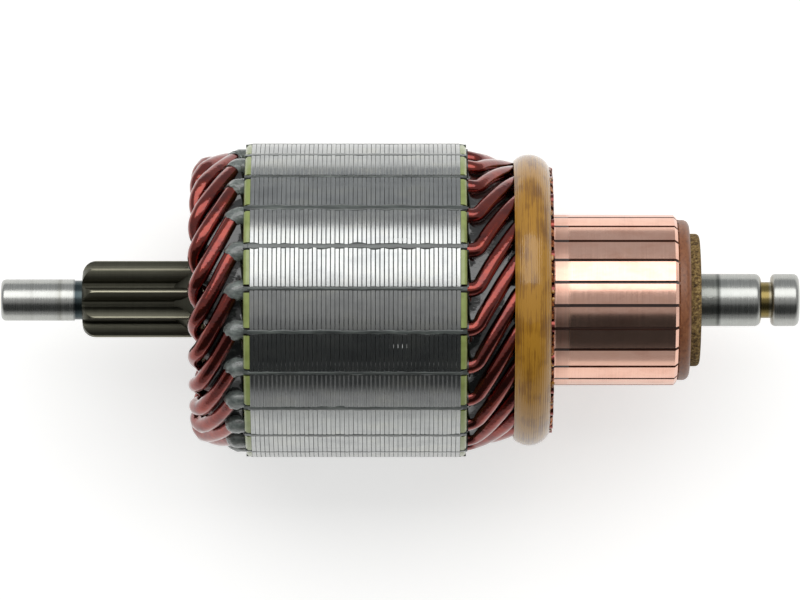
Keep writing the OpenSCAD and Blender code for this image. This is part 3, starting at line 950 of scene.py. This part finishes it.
def varnish_webs(skin):
    """Varnish that hangs between neighbouring wires of the outer layer, hollow as a liquid sets; its
    near-black finish is painted shade of the gaps.
    """
    bm = bmesh.new()
    for k in range(1, SLOTS + 1):
        turn = slot_turn(k) + PITCH / 2
        for path in (crown_points(0, turn, 1)[: -ARC_STEPS - 2], riser_points(0, turn, 1)[:-1]):
            depth = dice.uniform(*WEB_DEPTH) * MM
            shares = [2 * i / WEB_STEPS - 1 for i in range(WEB_STEPS + 1)]
            section = [(WEB_HALF * s, WEB_RISE - depth * (1 - s * s)) for s in shares]
            strip(bm, ring_frames(path), section)
    for v in bm.verts:
        v.co += wobble(v.co, WEB_WANDER_RUN, WEB_WANDER, 5)
    thicken(finish_piece("varnish_webs", bm, skin), WEB_WALL)


def turned_ring(bm, profile, steps):
    """Closed ring from a closed profile of stations and radii."""
    verts = [bm.verts.new((x, 0, r)) for x, r in profile]
    edges = [bm.edges.new((verts[i - 1], verts[i])) for i in range(len(verts))]
    bmesh.ops.spin(
        bm, geom=verts + edges, cent=(0, 0, 0), axis=(1, 0, 0), angle=math.tau, steps=steps, use_merge=True
    )
    bmesh.ops.remove_doubles(bm, verts=bm.verts, dist=0.0005 * MM)


BAND_BACK_R = 4.3 * MM
BAND_CREST = 0.7
BAND_STEPS = 72
BAND_TURN_STEPS = 180
BAND_CLEAR = 0.01 * MM
BAND_SEAT = 0.05 * MM
BAND_EDGE = 0.03 * MM
BAND_SWAY = 0.0012
STRAND = 0.42 * MM
STRAND_RISE = 0.022 * MM


def fibre_band(skin):
    """Band of glass strands round the wire ends, with each strand standing out of the resin."""
    centre_x = band_low.x + BAND_CREST * BAND_BACK_R
    centre_r = band_high.z - BAND_BACK_R
    seat = riser_r + BAND_SEAT
    slope = (SLOT_RADII[0] - RISER_RADII[0]) / (wire_riser_x - wire_x1)
    back = []
    for i in range(BAND_STEPS + 1):
        x = band_low.x + (band_high.x - band_low.x) * i / BAND_STEPS
        r = centre_r + math.sqrt(BAND_BACK_R**2 - (x - centre_x) ** 2)
        r -= STRAND_RISE * (1 - math.cos(math.tau * (x - band_low.x) / STRAND)) + BAND_CLEAR
        if r > seat + BAND_EDGE:
            back.append((x, r))
    under = [(back[-1][0], seat), (riser_x, seat), (band_low.x, seat + slope * (riser_x - band_low.x))]
    bm = bmesh.new()
    turned_ring(bm, back + under, BAND_TURN_STEPS)
    for v in bm.verts:
        high = math.hypot(v.co.y, v.co.z)
        sway = noise.noise(Vector((v.co.x / (1.3 * MM), v.co.y / (9 * MM), v.co.z / (9 * MM))))
        v.co.yz = v.co.yz * (1 - BAND_SWAY * (1 + sway) * (high > seat + 0.2 * MM))
    finish_piece("fibre_band", bm, skin, ["winding_band"], 50)


FILM_STEPS = 120
FILM_HALVES = (0.3, 0.38, 0.5, 0.62)
FILM_RUN = 3.2 * MM
FILM_INSET = 0.1 * MM
FILM_SINK = 0.018 * MM
FILM_WALL = 0.06 * MM


def slot_films(skin):
    """Thin varnish run out of the slot mouths on to the teeth, with a wandering edge."""
    bm = bmesh.new()
    x0 = plate_x0 + FILM_INSET
    x1 = plate_x1 - FILM_INSET
    for k in range(1, SLOTS + 1):
        spread = dice.choice(FILM_HALVES) * MM
        turn = slot_turn(k)
        verts = bmesh.ops.create_grid(bm, x_segments=FILM_STEPS, y_segments=4, size=1)["verts"]
        for v in verts:
            x = x0 + (x1 - x0) * (v.co.x + 1) / 2
            side = v.co.y
            seed = Vector((x / FILM_RUN, k * 5.3, 4 * math.copysign(1, side) if side else 0))
            half = spread * (0.75 + 0.9 * abs(noise.noise(seed)))
            rise = 0.012 * MM * (1 - side * side) - 0.02 * MM * abs(side) ** 3
            r = core_r - FILM_SINK + rise
            past = max(core_low.x - x, x - core_high.x, 0)
            r -= 0.12 * MM * min(1, past / (0.3 * MM)) + max(0, past - 0.4 * MM) * 0.6
            v.co = place(x, turn + side * half / r, r)
    thicken(finish_piece("slot_films", bm, skin), FILM_WALL)


BEADS = 90
BEAD_SIZES = (0.15, 0.42)


def resin_beads(skin):
    """Beads of band resin that ran on to the risers."""
    bm = bmesh.new()
    for _ in range(BEADS):
        turn = dice.uniform(0, math.tau)
        x = dice.uniform(face_x - 1.9 * MM, face_x - 0.2 * MM)
        size = dice.uniform(*BEAD_SIZES) * MM
        spot = place(x, turn, riser_r - 0.05 * MM)
        away = Vector((0, spot.y, spot.z)).normalized()
        lie = away.to_track_quat("Z", "X").to_matrix().to_4x4()
        flat = Matrix.Diagonal((size * dice.uniform(0.8, 1.8), size, size * 0.45, 1))
        lie = Matrix.Translation(spot) @ lie @ flat
        bmesh.ops.create_icosphere(bm, subdivisions=2, radius=1, matrix=lie)
    finish_piece("resin_beads", bm, skin, (), 80)


def dress_nodes(skins):
    """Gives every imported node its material."""
    for name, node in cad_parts.items():
        kind = name.rstrip("0123456789_")
        node.data.materials.clear()
        node.data.materials.append(skins[kind])


# Stage


def stage_piece(name, bm, skin):
    """Turns a bmesh into a piece of the studio, which isn't part of the armature."""
    mesh = bpy.data.meshes.new(name)
    bm.to_mesh(mesh)
    bm.free()
    mesh.materials.append(skin)
    piece = bpy.data.objects.new(name, mesh)
    bpy.context.scene.collection.objects.link(piece)
    return piece


FLOOR_SIZE = 3
FLOOR_LIFT = 0.5


def floor():
    """Pale table top, lifted to white where it is seen or mirrored."""
    made, tree, surface = material("pale_table", roughness=0.6, specular_ior_level=0.2)
    surface.inputs["Base Color"].default_value = linear("#e4e4e2")
    rays = add(tree, "ShaderNodeLightPath")
    camera_ray = rays.outputs["Is Camera Ray"]
    glossy_ray = rays.outputs["Is Glossy Ray"]
    clear_ray = rays.outputs["Is Transmission Ray"]
    seen = add(tree, "ShaderNodeMath", {0: camera_ray, 1: glossy_ray}, operation="MAXIMUM").outputs[0]
    shown = add(tree, "ShaderNodeMath", {0: seen, 1: clear_ray}, operation="MAXIMUM")
    lift = add(tree, "ShaderNodeMath", {0: shown.outputs[0], 1: FLOOR_LIFT}, operation="MULTIPLY")
    surface.inputs["Emission Color"].default_value = (1, 1, 1, 1)
    tree.links.new(lift.outputs[0], surface.inputs["Emission Strength"])
    bm = bmesh.new()
    lie = Matrix.Translation((0, 0, cad_low.z))
    bmesh.ops.create_grid(bm, x_segments=1, y_segments=1, size=FLOOR_SIZE, matrix=lie)
    stage_piece("table", bm, made)


def facing(spot):
    """Rotation of a lamp or a card at a spot that faces the armature, with its width along the shaft."""
    back = Vector(spot).normalized()
    across = Vector((1, 0, 0))
    up = back.cross(across)
    return Matrix((across, up, back)).transposed()


def studio_spot(angle, distance):
    """Spot at an angle from straight above, towards +Y."""
    a = math.radians(angle)
    return Vector((0, distance * math.sin(a), distance * math.cos(a)))


def softbox(name, angle, spread, distance, width, radiance):
    """Flat soft lamp above the shaft that covers a spread of angles."""
    lamp = bpy.data.lights.new(name, "AREA")
    lamp.shape = "RECTANGLE"
    lamp.size = width
    lamp.size_y = 2 * distance * math.tan(math.radians(spread / 2))
    lamp.energy = radiance * math.pi * lamp.size * lamp.size_y
    piece = bpy.data.objects.new(name, lamp)
    spot = studio_spot(angle, distance)
    piece.matrix_world = Matrix.Translation(spot) @ facing(spot).to_4x4()
    bpy.context.scene.collection.objects.link(piece)


def card(name, angle, spread, distance, width, code):
    """Reflection card out of view: only mirrored in the metal."""
    made = bpy.data.materials.new(name)
    made.use_nodes = True
    tree = made.node_tree
    tree.nodes.clear()
    glow = add(tree, "ShaderNodeEmission", {"Color": linear(code), "Strength": 1})
    add(tree, "ShaderNodeOutputMaterial", {"Surface": glow.outputs[0]})
    spot = studio_spot(angle, distance)
    tall = distance * math.tan(math.radians(spread / 2))
    bm = bmesh.new()
    lie = Matrix.Translation(spot) @ facing(spot).to_4x4() @ Matrix.Diagonal((width / 2, tall, 1, 1))
    bmesh.ops.create_grid(bm, x_segments=1, y_segments=1, size=1, matrix=lie)
    piece = stage_piece(name, bm, made)
    piece.visible_camera = False
    piece.visible_diffuse = False
    piece.visible_shadow = False
    piece.visible_transmission = False


CAMERA_DISTANCE = 1.25
SENSOR = 36
FRAME_WIDTH = 0.1528


def camera():
    """Square above the shaft, far off with a long lens."""
    lens = bpy.data.cameras.new("camera")
    lens.sensor_width = SENSOR
    lens.lens = SENSOR * CAMERA_DISTANCE / FRAME_WIDTH
    lens.clip_end = 10
    eye = bpy.data.objects.new("camera", lens)
    eye.location = (0, 0, CAMERA_DISTANCE)
    bpy.context.scene.collection.objects.link(eye)
    bpy.context.scene.camera = eye


ROOM_TONE = 0.42


def studio():
    """Even grey room, one large softbox above and two reflection cards."""
    world = bpy.data.worlds.new("room")
    bpy.context.scene.world = world
    world.use_nodes = True
    world.node_tree.nodes["Background"].inputs["Color"].default_value = (1, 1, 1, 1)
    world.node_tree.nodes["Background"].inputs["Strength"].default_value = ROOM_TONE
    softbox("softbox", 33, 40, 0.6, 1.1, 2)
    card("dark_card", -43, 50, 0.5, 1.6, "#3a3c3c")
    card("grey_card", 88, 62, 0.12, 1.2, "#b4b6b8")
    bpy.context.scene.view_settings.view_transform = "Standard"


def build():
    """Sets the studio, gives the solids their finishes and adds the dressed pieces."""
    camera()
    studio()
    floor()
    wire = enamelled_copper()
    sheets = sheet_steel()
    green = green_insulation()
    paper = varnished_paper()
    copper = turned_copper()
    banding = glass_banding()
    mouths = slot_varnish()
    dress_nodes(
        {
            "shaft": ground_steel(),
            "core": sheets,
            "end_insulator_drive": green,
            "end_insulator_rear": green,
            "slot_liners": paper,
            "slot_resin": mouths,
            "layer_paper_drive": paper,
            "layer_paper_rear": paper,
            "winding_band": banding,
            "commutator_moulding": phenolic(),
            "commutator_bush": drawn_steel(),
            "fibre_washer": pressed_fibre(),
            "hairpin": wire,
            "commutator_bar": copper,
        }
    )
    hairpins(wire)
    lamination_stack(sheets)
    slot_films(mouths)
    liner_cuffs(cured_varnish())
    varnish_webs(varnish_with_painted_shade())
    fibre_band(banding)
    resin_beads(amber_resin())


build()
